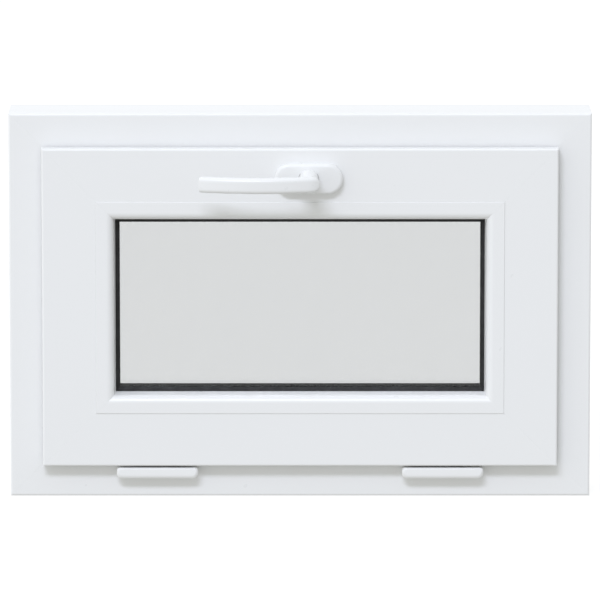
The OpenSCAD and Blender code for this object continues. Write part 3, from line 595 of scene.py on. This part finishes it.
def make_lever(finishes):
    """Bowed grip, its outer end blunt and its heel round, cast in one with the neck."""
    middle = (GRIP_FROM + GRIP_TO) / 2
    reach = (GRIP_TO - GRIP_FROM) / 2
    centre_y = GRIP_FRONT + BOW_R
    line_r = BOW_R - GRIP_T / 2
    swing = math.asin(reach / line_r)
    length = 2 * swing * line_r
    heel_from = math.ceil(length / MM - HEEL_SECTIONS[0])
    distances = [d * MM for d in (*TIP_SECTIONS, *range(GRIP_STEP, heel_from, GRIP_STEP))]
    distances += [length - d * MM for d in HEEL_SECTIONS]
    rings = []
    for along in distances:
        from_tip, from_heel = along, length - along
        tip = TIP_ROUND * (1 - half_chord(TIP_ROUND, from_tip))
        h = min(GRIP_H - 2 * tip, GRIP_H * half_chord(HEEL_ROUND, from_heel))
        t = min(GRIP_T - 2 * tip, GRIP_T * half_chord(HEEL_NOSE, from_heel))
        a = -swing + along / line_r
        rings.append([Vector((middle + (line_r + off) * math.sin(a),
                              centre_y - (line_r + off) * math.cos(a),
                              HANDLE_AXIS.z + up))
                      for off, up in rounded_outline(t, h, GRIP_CORNER)])
    lever = loft("lever", rings)
    around = [2 * math.pi * i / NECK_SIDES for i in range(NECK_SIDES)]
    neck = loft("neck", [[Vector((HANDLE_AXIS.x + r * MM * math.cos(a), SASH_FRONT - off * MM,
                                  HANDLE_AXIS.z + r * MM * math.sin(a))) for a in around]
                         for off, r in NECK])
    shape = bmesh.new()
    shape.from_mesh(lever.data)
    shape.from_mesh(neck.data)
    shape.to_mesh(lever.data)
    shape.free()
    bpy.data.objects.remove(neck)
    freeze(lever, ("REMESH", {"mode": "VOXEL", "voxel_size": VOXEL}),
           ("SMOOTH", {"factor": 0.5, "iterations": SMOOTHINGS}))
    half = BORE / 2
    cut_box(lever, (HANDLE_AXIS.x - half, SASH_FRONT - BORE_DEPTH, HANDLE_AXIS.z - half),
            (HANDLE_AXIS.x + half, SASH_FRONT + MM, HANDLE_AXIS.z + half))
    finish_piece(lever, finishes, "handle", "white_handle", "handle_lever")


def make_rosette(finishes):
    """Thin oval cap with a soft front edge, slightly crowned, bored for the neck."""
    def ring(w, h, y):
        outline = rounded_outline(w, h, h / 2, steps=ROSETTE_STEPS)
        return [Vector((HANDLE_AXIS.x + x, y, HANDLE_AXIS.z + z)) for x, z in outline]

    def face(w, h, y, crown, hole):
        """Rings from an outline in to the hole, rising by crown."""
        edge = rounded_outline(w, h, h / 2, steps=ROSETTE_STEPS)
        inner = [Vector(p).normalized() * hole for p in edge]
        rings = []
        for step in range(1, FACE_STEPS + 1):
            share = step / FACE_STEPS
            points = [Vector(p).lerp(q, share) for p, q in zip(edge, inner)]
            rise = crown * (1 - (1 - share) ** 2)
            rings.append([Vector((HANDLE_AXIS.x + q.x, y - rise, HANDLE_AXIS.z + q.y)) for q in points])
        return rings

    front = SASH_FRONT - ROSETTE_D + ROSETTE_CROWN
    rings = [ring(ROSETTE_W, ROSETTE_H, SASH_FRONT)]
    for a in ROUNDING:
        inset = 2 * ROSETTE_EDGE * (1 - math.cos(a))
        rings.append(ring(ROSETTE_W - inset, ROSETTE_H - inset, front + ROSETTE_EDGE * (1 - math.sin(a))))
    flat_w, flat_h = ROSETTE_W - 2 * ROSETTE_EDGE, ROSETTE_H - 2 * ROSETTE_EDGE
    rings += face(flat_w, flat_h, front, ROSETTE_CROWN, ROSETTE_HOLE + ROSETTE_HOLE_FLARE)
    inner_w, inner_h = ROSETTE_W - 2 * ROSETTE_WALL, ROSETTE_H - 2 * ROSETTE_WALL
    under = front + ROSETTE_WALL
    back = face(inner_w, inner_h, under, 0, ROSETTE_HOLE)
    rings += list(reversed(back))
    rings += [ring(inner_w, inner_h, under), ring(inner_w, inner_h, SASH_FRONT)]
    finish_piece(loft("rosette", rings, closed=True), finishes, "sash", "white_handle", "rosette_cover")


def make_hinge_cover(side, finishes):
    """Hollow cap with a tight top edge, a soft lower one and a slot on top for the sash's leaf."""
    node = "hinge_cover_" + side
    low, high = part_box(node)
    middle = (low + high) / 2
    w, h = high.x - low.x, high.z - low.z

    def shell(wall):
        """Rings from the back to the front of a skin that lies wall inside the cover."""
        rings = [(0, 0, high.y)]
        for a in ROUNDING:
            top = COVER_TOP_EDGE * (1 - math.cos(a))
            bottom = COVER_LOW_EDGE * (1 - math.cos(a))
            rings.append((top, bottom, low.y + COVER_EDGE_D * (1 - math.sin(a))))
        placed = []
        for top, bottom, y in rings:
            tall = h - 2 * wall - top - bottom
            top_r = COVER_TOP_CORNER - wall
            low_r = min(COVER_LOW_CORNER - wall, tall - top_r)
            outline = rounded_outline(w - 2 * wall - top - bottom, tall, top_r, low_r, 12)
            shift = (bottom - top) / 2
            depth = min(y + wall, high.y)
            placed.append([Vector((middle.x + x, depth, middle.z + z + shift)) for x, z in outline])
        return placed

    cover = loft("cover_" + side, list(reversed(shell(COVER_WALL))) + shell(0))
    cut_box(cover, (middle.x - COVER_SLOT_W / 2, high.y - COVER_SLOT_D, middle.z),
            (middle.x + COVER_SLOT_W / 2, high.y + MM, high.z + MM))
    finish_piece(cover, finishes, "frame", "white_trim", node)


# ---- making it ----

make_camera()
make_key()
make_world()
make_floor()
bpy.context.scene.view_settings.view_transform = "Standard"
finishes = make_materials()
dress_nodes(finishes)
make_lever(finishes)
make_rosette(finishes)
for side in ("left", "right"):
    make_hinge_cover(side, finishes)
for pane in ("glass_pane_outer", "glass_pane_inner"):
    frame["nodes"][pane].visible_shadow = False
